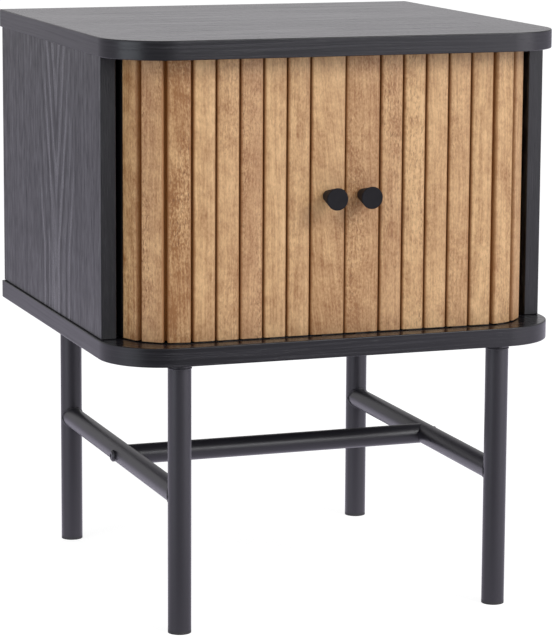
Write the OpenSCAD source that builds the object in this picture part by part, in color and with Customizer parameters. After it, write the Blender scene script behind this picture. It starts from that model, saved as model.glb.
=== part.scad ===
// Bedside table with two tambour doors on a tubular steel underframe.
// Millimetres. +Z is up, +X is right and the doors face -Y. The origin is on the
// floor, in the middle of the whole object's plan, knobs included.

/* [Case] */
// Width of the top and bottom boards
board_w = 450; // [400:5:560]
// Depth of the top and bottom boards, front to back
board_d = 420; // [380:5:480]
// Thickness of the top and bottom boards
board_t = 18; // [16:1:25]
// Radius of the two rounded front corners of the boards
corner_r = 60; // [50:1:75]
// Clear height between the two boards
case_h = 264; // [200:2:360]
// Thickness of the side panels
panel_t = 15; // [15:1:19]
// How far the boards stand out past the side panels
overhang = 2.5; // [1:0.5:6]
// Thickness of the back panel
back_t = 5; // [3:0.5:8]
// Distance from the rear edge of the boards to the back panel
back_inset = 12; // [6:1:20]
// Depth of the groove that holds the back panel
back_groove = 5; // [3:0.5:6]
// Clearance on each face of the back panel in its groove
back_fit = 0.2; // [0.1:0.05:0.4]

/* [Liners] */
// Thickness of the inner walls that screen the folded tambours
liner_t = 12; // [10:1:16]
// Gap between a tambour's cloth and the liner beside it
liner_gap = 1.7; // [1:0.1:4]
// How far behind the end of the bend a liner starts
liner_setback = 12; // [8:1:30]
// Clearance between a liner's rear edge and the back panel
liner_fit = 0.3; // [0.1:0.1:0.8]

/* [Tambour] */
// Where the closed doors meet, to the right of the middle
meeting_x = 4; // [-8:1:8]
// Gap between the two lead slats when both doors are closed
meeting_gap = 1; // [0.6:0.1:2]
// Width of the wide lead slat that carries the knob
lead_w = 33.4; // [28:0.2:40]
// Width of a narrow slat
slat_w = 21.5; // [18:0.1:22]
// Gap between two slats
slat_gap = 1.6; // [1.4:0.1:2.4]
// Thickness of the slats
slat_t = 6; // [5:0.5:7]
// Chamfer along the front edges of each slat
slat_chamfer = 0.8; // [0.3:0.1:1.5]
// Number of narrow slats on each door
slat_count = 12; // [10:1:13]
// Distance from the boards' front edge back to the slats' faces
front_setback = 20; // [14:1:24]
// Gap between the slats' faces and the side panel that they slide behind
pocket_gap = 6.5; // [5:0.5:9]
// Radius of the bend, at the backs of the slats
bend_r = 45; // [40:1:55]
// Gap under the slats' shoulders
shoulder_gap = 0.8; // [0.4:0.1:1.5]
// Gap above the slats' shoulders
head_gap = 1.2; // [0.8:0.1:2]
// Thickness of the backing cloth
cloth_t = 0.8; // [0.4:0.1:1.2]
// Distance from the ends of the slats to the ends of the cloth
cloth_margin = 8; // [4:1:20]
// How far a strip of cloth stops short of the edges of its slat
cloth_edge = 0.5; // [0.2:0.1:2]
// Thickness of the glue line between slat and cloth
glue_t = 0.1; // [0.05:0.05:0.2]

/* [Tracks] */
// Width of the groove in each board that guides the doors
track_w = 5; // [4.5:0.1:6]
// Depth of that groove
track_depth = 7; // [5:0.5:8]
// Running clearance on each side of the tongues in that groove
tongue_play = 0.5; // [0.3:0.1:0.8]
// Length of a tongue along the groove
tongue_l = 10; // [8:0.5:12]
// Running clearance under the lower tongues
tongue_under = 0.3; // [0.1:0.1:0.6]
// Clearance over the upper tongues, for lifting the doors in
tongue_over = 2; // [1:0.5:3]

/* [Knobs] */
// Diameter of the knob's face
knob_face_d = 21; // [16:0.5:30]
// Diameter of the knob where it meets the slat
knob_base_d = 11.5; // [9:0.5:16]
// Length of the knob, from the slat to its face
knob_l = 25; // [15:1:32]
// Chamfer round the knob's face
knob_chamfer = 0.8; // [0.3:0.1:1.5]
// Diameter of the screw that holds the knob
knob_screw_d = 4; // [3:0.5:5]
// Length of that screw in the knob
knob_screw_grip = 11; // [8:1:14]
// Diameter of its head
knob_screw_head_d = 8; // [7:0.5:10]
// Thickness of its head
knob_screw_head_t = 2.2; // [1.6:0.1:3]
// Width of the hexagon recess in its head, corner to corner
knob_recess_w = 2.8; // [2:0.1:3.6]
// Depth of that recess
knob_recess_h = 1.1; // [0.6:0.1:1.4]
// Gap between that head and the hole in the backing cloth
cloth_hole_gap = 0.2; // [0.1:0.1:0.5]

/* [Underframe] */
// Height of the underframe, from the floor to the bottom board
frame_h = 256; // [150:1:350]
// Outer diameter of the legs
leg_d = 22; // [21.5:0.5:28]
// Outer diameter of the side rails
rail_d = 21; // [20.5:0.5:21.5]
// Outer diameter of the cross rail
cross_rail_d = 20; // [16:0.5:20.5]
// Wall of the leg and rail tubes
tube_wall = 1.5; // [1:0.1:2]
// Distance from the boards' side edges to the legs' axes
leg_inset = 65; // [45:1:105]
// Distance from the boards' front edge to the front legs' axes
leg_front = 17; // [14:1:60]
// Distance from the boards' rear edge to the rear legs' axes
leg_rear = 32; // [14:1:60]
// Height of the rails' axes above the floor
rail_z = 131; // [60:1:140]
// Distance from the boards' front edge to the cross rail's axis
cross_rail_y = 196; // [150:1:240]
// Thickness of the straps that the legs are welded to
strap_t = 3; // [2:0.5:5]
// Thickness of the glides under the legs
glide_t = 3; // [2:0.5:8]
// Depth of a glide's plug in its tube
glide_plug = 9; // [5:1:15]

/* [Fasteners] */
// Clearance round a shank, dowel, cam or plug in its hole
fit = 0.1; // [0.05:0.05:0.2]
// Air at the bottom of a blind hole
end_air = 0.4; // [0.2:0.1:0.8]
// Diameter of the panel dowels
dowel_d = 8; // [6:1:8]
// Length of the panel dowels
dowel_l = 30; // [24:1:35]
// How deep a dowel stands in a board
dowel_in_board = 11; // [8:0.5:12]
// Diameter of the liner dowels
liner_dowel_d = 6; // [5:0.5:6]
// Length of the liner dowels
liner_dowel_l = 24; // [20:1:30]
// Diameter of the cam locks
cam_d = 15; // [12:0.5:18]
// Depth of the cam locks in the side panels
cam_h = 12; // [11.5:0.1:12.5]
// Width of the screwdriver slot in a cam lock
cam_slot_w = 1.6; // [1:0.1:2]
// Depth of that slot
cam_slot_h = 2; // [1:0.1:2.5]
// Distance from a side panel's end to the axis of its cam locks
cam_axis = 24; // [20:1:34]
// Diameter of the smooth shank of a cam bolt
cam_bolt_d = 7; // [6:0.5:7]
// Diameter of its thread
cam_thread_d = 5; // [4:0.5:6]
// Length of its thread in the board
cam_thread_l = 10; // [8:0.5:12]
// Distance of the outer fixings from the front and rear ends of a panel
fixing_inset = 36; // [30:1:60]
// Distance between a cam lock and the dowel beside it
fixing_step = 32; // [24:1:40]
// Screws in each strap
strap_screws = 4; // [2:1:6]
// Distance from a leg's axis to the nearest screw in its strap
strap_screw_inset = 34; // [24:1:60]
// Diameter of the strap screws
strap_screw_d = 4; // [4:0.5:5]
// Diameter of their countersunk heads
strap_screw_head_d = 8; // [7:0.5:8]
// Width of the hexagon recess in their heads, corner to corner
strap_recess_w = 2.4; // [2:0.1:3]
// Depth of that recess
strap_recess_h = 1.2; // [0.8:0.1:1.6]
// How deep they stand in the bottom board
strap_screw_grip = 9; // [6:0.5:10]
// Diameter of the cross rail's bolts
bolt_d = 6; // [5:0.5:8]
// Diameter of their heads
bolt_head_d = 12; // [10:0.5:13]
// Diameter of the flat on top of their domed heads
bolt_crown_d = 8.4; // [7:0.2:9.6]
// Thickness of their heads
bolt_head_t = 3.3; // [2.5:0.1:5]
// Width of the hexagon socket in their heads
bolt_socket_w = 4; // [3:0.5:5]
// Length of the threaded plugs in the ends of the cross rail
plug_l = 15; // [10:1:25]
// Gap between a threaded plug and the side rail
plug_gap = 0.8; // [0.3:0.1:0.9]

/* [Hidden] */
SIDES = [-1, 1];
SIDE_NAMES = ["left", "right"];
SLATS = [1:slat_count];
$fn = 96;
// Overlap that lets a cut run cleanly past a face
cut = 1;
BOARD_BLACK = [0.20, 0.20, 0.22];
STEEL_BLACK = [0.15, 0.15, 0.17];
KNOB_BLACK = [0.11, 0.11, 0.12];
MANGO = [0.76, 0.60, 0.42];
MANGO_DARK = [0.70, 0.53, 0.36];
ZINC = [0.72, 0.72, 0.74];
BEECH = [0.85, 0.74, 0.57];
CLOTH = [0.24, 0.19, 0.15];

// Overall plan: the knobs may stand out past the boards' front edge
knob_reach = max(0, knob_l - front_setback);
front_y = (knob_reach - board_d) / 2;
rear_y = front_y + board_d;
// Heights
bottom_z = frame_h;
floor_z = bottom_z + board_t;
ceiling_z = floor_z + case_h;
mid_z = floor_z + case_h / 2;
// Side panels
panel_out_x = board_w / 2 - overhang;
panel_in_x = panel_out_x - panel_t;
panel_mid_x = panel_in_x + panel_t / 2;
panel_y = front_y + corner_r;
// Back panel
back_y = rear_y - back_inset - back_t;
// Tambour: the line that the slats' backs follow, round the bend's centre
face_y = front_y + front_setback;
slat_back_y = face_y + slat_t;
slat_back_x = panel_in_x - pocket_gap - slat_t;
bend_x = slat_back_x - bend_r;
bend_y = slat_back_y + bend_r;
bend_l = bend_r * PI / 2;
slat_pitch = slat_w + slat_gap;
slat_l = case_h - shoulder_gap - head_gap;
slat_z = floor_z + shoulder_gap;
tongue_low = track_depth - tongue_under + shoulder_gap;
tongue_high = track_depth - tongue_over + head_gap;
lead_s = (meeting_gap + lead_w) / 2;
// Groove in the boards, along the middle of the slats' thickness
tongue_t = track_w - 2 * tongue_play;
track_r = bend_r + slat_t / 2;
track_y = slat_back_y - slat_t / 2;
track_x = slat_back_x + slat_t / 2;
// Liners
liner_x = slat_back_x - cloth_t - glue_t - liner_gap - liner_t;
liner_y = bend_y + liner_setback;
liner_l = back_y - liner_fit - liner_y;
liner_mid_x = liner_x + liner_t / 2;
// Fixing places along the side panels and the liners
panel_cams = [panel_y + fixing_inset, rear_y - back_inset - fixing_inset];
panel_dowels = [panel_cams[0] + fixing_step, panel_cams[1] - fixing_step];
liner_dowels_y = [liner_y + fixing_inset, liner_y + liner_l - fixing_inset];
dowel_in_panel = dowel_l - dowel_in_board;
liner_dowel_in = liner_dowel_l - dowel_in_board;
// Underframe
leg_x = board_w / 2 - leg_inset;
leg_ys = [front_y + leg_front, rear_y - leg_rear];
leg_top = frame_h - strap_t;
leg_l = leg_top - glide_t;
rail_y = front_y + cross_rail_y;
tube_bore_leg = leg_d - 2 * tube_wall;
tube_bore_rail = rail_d - 2 * tube_wall;
tube_bore_cross = cross_rail_d - 2 * tube_wall;
plug_x = leg_x - rail_d / 2 - plug_gap;
bolt_l = rail_d + plug_gap + plug_l;
screw_span = leg_ys[1] - leg_ys[0] - 2 * strap_screw_inset;
strap_screw_ys = [
    for (i = [0:strap_screws - 1])
        leg_ys[0] + strap_screw_inset + i * screw_span / (strap_screws - 1)
];
head_cone = (strap_screw_head_d - strap_screw_d) / 2;

// --- Where the slats stand -------------------------------------------------
// side is -1 for the left door and 1 for the right one. s runs along the slats'
// backs from the line where the doors meet.

// Length of the straight front run of a door
function front_run(side) = bend_x - side * meeting_x;

// Angle that the line has turned at s
function heading(side, s) =
    min(max((s - front_run(side)) / bend_r * 180 / PI, 0), 90);

// Distance from the meeting line, along the front
function along(side, s) =
    min(s, front_run(side)) + bend_r * sin(heading(side, s));

// Distance behind the front run
function behind(side, s) =
    bend_r * (1 - cos(heading(side, s))) + max(s - front_run(side) - bend_l, 0);

// Place of the middle of narrow slat k
function slat_s(k) =
    meeting_gap / 2 + lead_w + slat_gap + slat_w / 2 + (k - 1) * slat_pitch;

module on_line(side, s) {
    translate([meeting_x + side * along(side, s), slat_back_y + behind(side, s), 0])
        rotate([0, 0, side * heading(side, s)])
            children();
}

// --- Shapes that repeat ----------------------------------------------------

module post(d, h) {
    cylinder(d = d, h = h);
}

module tube(d, bore, h) {
    difference() {
        cylinder(d = d, h = h);
        translate([0, 0, -cut])
            cylinder(d = bore, h = h + 2 * cut);
    }
}

// Cylinder along +X
module post_x(d, h) {
    rotate([0, 90, 0])
        cylinder(d = d, h = h);
}

// Cylinder along +Y
module post_y(d, h) {
    rotate([-90, 0, 0])
        cylinder(d = d, h = h);
}

// Outline of a board: square behind, rounded in front
module board_outline() {
    difference() {
        translate([-board_w / 2, front_y])
            square([board_w, board_d]);
        for (side = SIDES)
            translate([side * (board_w / 2 - corner_r), front_y + corner_r])
                mirror([side < 0 ? 1 : 0, 0])
                    difference() {
                        translate([0, -corner_r - cut])
                            square([corner_r + cut, corner_r + cut]);
                        circle(r = corner_r);
                    }
    }
}

// Groove that guides both doors: front run, two bends, and side runs that leave
// through the rear edge, where the doors are fed in
module track(z) {
    translate([0, 0, z]) {
        translate([-bend_x, track_y - track_w / 2, 0])
            cube([2 * bend_x, track_w, track_depth + cut]);
        for (side = SIDES) {
            translate([side * bend_x, bend_y, 0])
                rotate([0, 0, side < 0 ? 180 : -90])
                    rotate_extrude(angle = 90)
                        translate([track_r - track_w / 2, 0])
                            square([track_w, track_depth + cut]);
            translate([side * track_x - track_w / 2, bend_y, 0])
                cube([track_w, rear_y - bend_y + cut, track_depth + cut]);
        }
    }
}

// Groove for the back panel in a board
module back_slot(z) {
    w = panel_in_x + back_groove + back_fit;
    translate([-w, back_y - back_fit, z])
        cube([2 * w, back_t + 2 * back_fit, back_groove + back_fit + cut]);
}

// Holes in a board for its cam bolts and dowels, bored from z along dir
module board_bores(z, dir) {
    for (side = SIDES) {
        for (y = panel_cams)
            translate([side * panel_mid_x, y, z])
                blind_bore(cam_thread_d, cam_thread_l, dir);
        for (y = panel_dowels)
            translate([side * panel_mid_x, y, z])
                blind_bore(dowel_d, dowel_in_board, dir);
        for (y = liner_dowels_y)
            translate([side * liner_mid_x, y, z])
                blind_bore(liner_dowel_d, dowel_in_board, dir);
    }
}

// Blind hole for a shank of diameter d that goes in to depth h
module blind_bore(d, h, dir) {
    mirror([0, 0, dir < 0 ? 1 : 0])
        translate([0, 0, -cut])
            cylinder(d = d + 2 * fit, h = h + end_air + cut);
}

// --- Case ------------------------------------------------------------------

module top_board() {
    color(BOARD_BLACK)
        difference() {
            translate([0, 0, ceiling_z])
                linear_extrude(board_t)
                    board_outline();
            track(ceiling_z - cut);
            back_slot(ceiling_z - cut);
            board_bores(ceiling_z, 1);
        }
}

module bottom_board() {
    color(BOARD_BLACK)
        difference() {
            translate([0, 0, bottom_z])
                linear_extrude(board_t)
                    board_outline();
            track(floor_z - track_depth);
            back_slot(floor_z - back_groove - back_fit);
            board_bores(floor_z, -1);
            for (side = SIDES, y = strap_screw_ys)
                translate([side * leg_x, y, bottom_z])
                    blind_bore(strap_screw_d, strap_screw_grip, 1);
        }
}

// Side panel: cam locks are let into its inner face, where the tambour hides them
module side_panel(side) {
    color(BOARD_BLACK)
        difference() {
            translate([side > 0 ? panel_in_x : -panel_out_x, panel_y, floor_z])
                cube([panel_t, rear_y - panel_y, case_h]);
            translate([
                side > 0 ? panel_in_x - cut : -panel_in_x - back_groove - back_fit,
                back_y - back_fit,
                floor_z - cut
            ])
                cube([back_groove + back_fit + cut, back_t + 2 * back_fit, case_h + 2 * cut]);
            for (end = [floor_z, ceiling_z]) {
                up = end == floor_z ? 1 : -1;
                for (y = panel_cams) {
                    translate([side * panel_mid_x, y, end])
                        blind_bore(cam_bolt_d, cam_axis, up);
                    translate([side * (panel_in_x - cut), y, end + up * cam_axis])
                        mirror([side < 0 ? 1 : 0, 0, 0])
                            post_x(cam_d + 2 * fit, cam_h + fit + cut);
                }
                for (y = panel_dowels)
                    translate([side * panel_mid_x, y, end])
                        blind_bore(dowel_d, dowel_in_panel, up);
            }
        }
}

module liner(side) {
    color(BOARD_BLACK)
        difference() {
            translate([side > 0 ? liner_x : -liner_x - liner_t, liner_y, floor_z])
                cube([liner_t, liner_l, case_h]);
            for (y = liner_dowels_y) {
                translate([side * liner_mid_x, y, floor_z])
                    blind_bore(liner_dowel_d, liner_dowel_in, 1);
                translate([side * liner_mid_x, y, ceiling_z])
                    blind_bore(liner_dowel_d, liner_dowel_in, -1);
            }
        }
}

module back_panel() {
    w = panel_in_x + back_groove;
    color(BOARD_BLACK)
        translate([-w, back_y, floor_z - back_groove])
            cube([2 * w, back_t, case_h + 2 * back_groove]);
}

// --- Case fixings ----------------------------------------------------------

// Dowels at both ends of an upright: x and ys say where, inset how deep in a board
module dowel_set(x, ys, d, l) {
    for (side = SIDES, y = ys, z = [floor_z - dowel_in_board, ceiling_z + dowel_in_board - l])
        translate([side * x, y, z])
            post(d, l);
}

module panel_dowel_group() {
    color(BEECH)
        dowel_set(panel_mid_x, panel_dowels, dowel_d, dowel_l);
}

module liner_dowel_group() {
    color(BEECH)
        dowel_set(liner_mid_x, liner_dowels_y, liner_dowel_d, liner_dowel_l);
}

// Cam lock: a round housing, open on the side where the bolt comes in, with a
// screwdriver slot across its face
module cam_locks() {
    color(ZINC)
        for (side = SIDES, y = panel_cams, up = SIDES) {
            end = up > 0 ? floor_z : ceiling_z;
            translate([side * panel_in_x, y, end + up * cam_axis])
                mirror([side < 0 ? 1 : 0, 0, 0])
                    difference() {
                        post_x(cam_d, cam_h);
                        translate([panel_t / 2, 0, up > 0 ? -cam_d : 0])
                            post(cam_bolt_d + 2 * fit, cam_d);
                        translate([-cut, -cam_d, -cam_slot_w / 2])
                            cube([cam_slot_h + cut, 2 * cam_d, cam_slot_w]);
                    }
        }
}

module cam_bolts() {
    color(ZINC)
        for (side = SIDES, y = panel_cams, up = SIDES) {
            end = up > 0 ? floor_z : ceiling_z;
            translate([side * panel_mid_x, y, end])
                mirror([0, 0, up > 0 ? 0 : 1]) {
                    translate([0, 0, -cam_thread_l])
                        post(cam_thread_d, cam_thread_l);
                    post(cam_bolt_d, cam_axis - fit);
                }
        }
}

// --- Underframe ------------------------------------------------------------

// Flat strap that the two legs of one side are welded to
module strap(side) {
    color(STEEL_BLACK)
        difference() {
            translate([side * leg_x, 0, leg_top])
                linear_extrude(strap_t) {
                    translate([-leg_d / 2, leg_ys[0]])
                        square([leg_d, leg_ys[1] - leg_ys[0]]);
                    for (y = leg_ys)
                        translate([0, y])
                            circle(d = leg_d);
                }
            for (y = strap_screw_ys)
                translate([side * leg_x, y, leg_top]) {
                    translate([0, 0, -cut])
                        cylinder(d = strap_screw_d + 2 * fit, h = strap_t + 2 * cut);
                    cylinder(
                        d1 = strap_screw_head_d + 2 * fit,
                        d2 = strap_screw_d + 2 * fit,
                        h = head_cone
                    );
                    translate([0, 0, -cut])
                        cylinder(d = strap_screw_head_d + 2 * fit, h = cut);
                }
        }
}

module strap_screw_group() {
    color(ZINC)
        for (side = SIDES, y = strap_screw_ys)
            translate([side * leg_x, y, leg_top])
                difference() {
                    union() {
                        cylinder(d1 = strap_screw_head_d, d2 = strap_screw_d, h = head_cone);
                        post(strap_screw_d, strap_t + strap_screw_grip);
                    }
                    translate([0, 0, -cut])
                        cylinder(d = strap_recess_w, h = strap_recess_h + cut, $fn = 6);
                }
}

module leg(side, y) {
    color(STEEL_BLACK)
        translate([side * leg_x, y, glide_t])
            tube(leg_d, tube_bore_leg, leg_l);
}

// Side rail: its ends are coped to the legs, and the cross rail's bolt goes through it
module side_rail(side) {
    color(STEEL_BLACK)
        difference() {
            translate([side * leg_x, leg_ys[0], rail_z])
                post_y(rail_d, leg_ys[1] - leg_ys[0]);
            translate([side * leg_x, leg_ys[0] - cut, rail_z])
                post_y(tube_bore_rail, leg_ys[1] - leg_ys[0] + 2 * cut);
            for (y = leg_ys)
                translate([side * leg_x, y, rail_z - rail_d])
                    post(leg_d, 2 * rail_d);
            translate([side * leg_x - rail_d, rail_y, rail_z])
                post_x(bolt_d + 2 * fit, 2 * rail_d);
        }
}

// Cross rail: its ends are coped to the side rails
module cross_rail() {
    color(STEEL_BLACK)
        difference() {
            translate([-leg_x, rail_y, rail_z])
                post_x(cross_rail_d, 2 * leg_x);
            translate([-leg_x - cut, rail_y, rail_z])
                post_x(tube_bore_cross, 2 * (leg_x + cut));
            for (side = SIDES)
                translate([side * leg_x, rail_y - rail_d, rail_z])
                    post_y(rail_d, 2 * rail_d);
        }
}

module cross_rail_plugs() {
    color(ZINC)
        for (side = SIDES)
            translate([side * plug_x, rail_y, rail_z])
                mirror([side > 0 ? 1 : 0, 0, 0])
                    difference() {
                        post_x(tube_bore_cross - 2 * fit, plug_l);
                        translate([-cut, 0, 0])
                            post_x(bolt_d + 2 * fit, plug_l + 2 * cut);
                    }
}

module cross_rail_bolts() {
    rim = bolt_head_t / 2;
    color(STEEL_BLACK)
        for (side = SIDES)
            translate([side * (leg_x + rail_d / 2), rail_y, rail_z])
                mirror([side > 0 ? 1 : 0, 0, 0])
                    difference() {
                        union() {
                            post_x(bolt_d, bolt_l);
                            translate([-rim, 0, 0])
                                post_x(bolt_head_d, rim);
                            translate([-rim, 0, 0])
                                rotate([0, -90, 0])
                                    cylinder(d1 = bolt_head_d, d2 = bolt_crown_d, h = rim);
                        }
                        translate([-bolt_head_t - cut, 0, 0])
                            rotate([0, 90, 0])
                                cylinder(d = bolt_socket_w / cos(30), h = rim + cut, $fn = 6);
                    }
}

module foot_glides() {
    color(KNOB_BLACK)
        for (side = SIDES, y = leg_ys)
            translate([side * leg_x, y, 0]) {
                post(leg_d, glide_t);
                post(tube_bore_leg - 2 * fit, glide_t + glide_plug);
            }
}

// --- Doors -----------------------------------------------------------------

// Slat in its own place: its back is the plane y = 0 and its face looks along -y
module slat_solid(w, tongue) {
    translate([0, 0, slat_z])
        linear_extrude(slat_l)
            polygon([
                [-w / 2, 0],
                [w / 2, 0],
                [w / 2, slat_chamfer - slat_t],
                [w / 2 - slat_chamfer, -slat_t],
                [slat_chamfer - w / 2, -slat_t],
                [-w / 2, slat_chamfer - slat_t]
            ]);
    if (tongue) {
        translate([-tongue_l / 2, -(slat_t + tongue_t) / 2, slat_z - tongue_low])
            cube([tongue_l, tongue_t, tongue_low + slat_l + tongue_high]);
    }
}

// Strip of backing cloth behind a slat of width w
module cloth(w) {
    color(CLOTH)
        translate([cloth_edge - w / 2, glue_t, slat_z + cloth_margin])
            cube([w - 2 * cloth_edge, cloth_t, slat_l - 2 * cloth_margin]);
}

// Narrow slat k: every second one has tongues that run in the tracks
module slat(side, k) {
    on_line(side, slat_s(k)) {
        color(k % 2 == 0 ? MANGO : MANGO_DARK)
            slat_solid(slat_w, k % 2 == 0);
        cloth(slat_w);
    }
}

module lead_slat(side) {
    on_line(side, lead_s) {
        color(MANGO)
            difference() {
                slat_solid(lead_w, true);
                translate([0, cut, mid_z])
                    rotate([90, 0, 0])
                        post(knob_screw_d + 2 * fit, slat_t + 2 * cut);
            }
        difference() {
            cloth(lead_w);
            translate([0, slat_t, mid_z])
                rotate([90, 0, 0])
                    post(knob_screw_head_d + 2 * cloth_hole_gap, 2 * slat_t);
        }
    }
}

// Knob: a cone that widens towards its face, with a blind hole for its screw
module knob(side) {
    color(KNOB_BLACK)
        on_line(side, lead_s)
            translate([0, -slat_t, mid_z])
                rotate([90, 0, 0])
                    rotate_extrude()
                        polygon([
                            [knob_screw_d / 2 + fit, 0],
                            [knob_base_d / 2, 0],
                            [knob_face_d / 2, knob_l - knob_chamfer],
                            [knob_face_d / 2 - knob_chamfer, knob_l],
                            [0, knob_l],
                            [0, knob_screw_grip + end_air],
                            [knob_screw_d / 2 + fit, knob_screw_grip + end_air]
                        ]);
}

module knob_screw(side) {
    color(ZINC)
        on_line(side, lead_s)
            translate([0, knob_screw_head_t, mid_z])
                rotate([90, 0, 0])
                    difference() {
                        union() {
                            post(knob_screw_head_d, knob_screw_head_t);
                            post(knob_screw_d, knob_screw_head_t + slat_t + knob_screw_grip);
                        }
                        translate([0, 0, -cut])
                            cylinder(d = knob_recess_w, h = cut + knob_recess_h, $fn = 6);
                    }
}

// --- Nodes -----------------------------------------------------------------

top_board();
bottom_board();
back_panel();
side_panel(-1);  // left_side_panel
side_panel(1);  // right_side_panel
liner(-1);  // left_liner
liner(1);  // right_liner
panel_dowel_group();  // panel_dowels
liner_dowel_group();  // liner_dowels
cam_locks();
cam_bolts();
strap(-1);  // left_strap
strap(1);  // right_strap
strap_screw_group();  // strap_screws
leg(-1, leg_ys[0]);  // front_left_leg
leg(1, leg_ys[0]);  // front_right_leg
leg(-1, leg_ys[1]);  // rear_left_leg
leg(1, leg_ys[1]);  // rear_right_leg
side_rail(-1);  // left_side_rail
side_rail(1);  // right_side_rail
cross_rail();
cross_rail_plugs();
cross_rail_bolts();
foot_glides();
lead_slat(-1);  // left_lead_slat
lead_slat(1);  // right_lead_slat
for (k = SLATS) {
    slat(-1, k);
    slat(1, k);
}
knob(-1);  // left_knob
knob(1);  // right_knob
knob_screw(-1);  // left_knob_screw
knob_screw(1);  // right_knob_screw
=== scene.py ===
# %% [markdown]
# # A bedside table with sliding tambour doors
#
# The real table is a black ash-grained case on a frame of black steel tube. Two doors of
# narrow wood slats close its front and run round its rounded front corners. In this lesson
# the case, the frame and all moving parts come from a CAD model, and we give them their
# looks: broken edges, wood grain, powder coat, welds, light and a camera.
#
# Everything is in metres. X runs to the right, Y to the rear and Z up, and the floor is
# at z = 0.

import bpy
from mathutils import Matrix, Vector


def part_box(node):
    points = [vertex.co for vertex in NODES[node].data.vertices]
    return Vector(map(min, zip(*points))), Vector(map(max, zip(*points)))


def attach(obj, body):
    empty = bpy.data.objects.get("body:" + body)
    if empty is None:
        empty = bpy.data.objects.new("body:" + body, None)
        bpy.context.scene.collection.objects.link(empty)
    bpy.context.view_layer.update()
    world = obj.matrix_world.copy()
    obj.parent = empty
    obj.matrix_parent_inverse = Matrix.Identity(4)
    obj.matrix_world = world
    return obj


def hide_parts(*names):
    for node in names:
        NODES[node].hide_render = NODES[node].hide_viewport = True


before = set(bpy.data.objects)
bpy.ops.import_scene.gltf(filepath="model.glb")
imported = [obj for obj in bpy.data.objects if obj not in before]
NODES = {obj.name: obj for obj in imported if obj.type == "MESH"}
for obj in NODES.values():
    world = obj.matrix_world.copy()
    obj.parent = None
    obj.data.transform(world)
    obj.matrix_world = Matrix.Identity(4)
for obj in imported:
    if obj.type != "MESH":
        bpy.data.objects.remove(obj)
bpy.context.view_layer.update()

# %% [markdown]
# ## Units and the sizes that the CAD model gives
#
# A workshop drawing is in millimetres, so the script has one factor for them. The boards,
# panels and slats are read from the CAD model's boxes instead of being typed again. If the
# model is changed, the pieces that we make here follow it.

# %% Tools and sizes
import math
import random

import bmesh
import bpy
from mathutils import Matrix, Vector

MM = 0.001
SIDES = {"left": -1, "right": 1}

floor_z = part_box("bottom_board")[1].z
ceiling_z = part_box("top_board")[0].z
mid_z = (floor_z + ceiling_z) / 2
print("case opening:", round((ceiling_z - floor_z) / MM), "mm high")

# %% [markdown]
# ## Building finishes with plain sums
#
# A procedural material is a net of nodes. Nets are tedious to write one link at a time, so
# we make three small helpers. A `Wire` holds one socket and knows the signs + - * /, so that
# `1 - mask` adds a Math node by itself. A `Net` adds every other node through a single
# method: node type, settings, then what goes into its sockets. A `Finish` is the net of one
# material, with the nodes that our finishes share.
#
# In all finishes, a number that multiplies a place says how many bumps of noise a metre
# holds: 1500 gives a fine grit, 5 a broad cloud. Grain has many across it and few along it.

# %% A wire that can be used in sums
class Wire:
    """One shader socket, which sums turn into Math nodes."""

    def __init__(self, net, socket):
        self.net = net
        self.socket = socket

    def math(self, operation, *values):
        inputs = dict(enumerate(values))
        return self.net.node("ShaderNodeMath", {"operation": operation}, inputs)

    def __add__(self, other):
        return self.math("ADD", self, other)

    def __radd__(self, other):
        return self.math("ADD", other, self)

    def __sub__(self, other):
        return self.math("SUBTRACT", self, other)

    def __rsub__(self, other):
        return self.math("SUBTRACT", other, self)

    def __mul__(self, other):
        return self.math("MULTIPLY", self, other)

    def __rmul__(self, other):
        return self.math("MULTIPLY", other, self)

    def __truediv__(self, other):
        return self.math("DIVIDE", self, other)

    def __abs__(self):
        return self.math("ABSOLUTE", self)

    def root(self):
        return self.math("SQRT", self)

    def part(self):
        """What is left of a number after its whole part."""
        return self.math("FRACT", self)


# %% A net that adds any node
class Net:
    """A tree of shader nodes."""

    def __init__(self, tree):
        self.tree = tree

    def put(self, socket, value):
        """Links a wire to the socket, or sets the socket to a plain value."""
        if isinstance(value, Wire):
            self.tree.links.new(value.socket, socket)
        else:
            socket.default_value = value

    def node(self, kind, settings=None, inputs=None, output=0):
        """Adds a node and gives back the wire of one of its outputs."""
        made = self.tree.nodes.new(kind)
        for name, value in (settings or {}).items():
            setattr(made, name, value)
        for key, value in (inputs or {}).items():
            self.put(made.inputs[key], value)
        return Wire(self, made.outputs[output])


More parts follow.
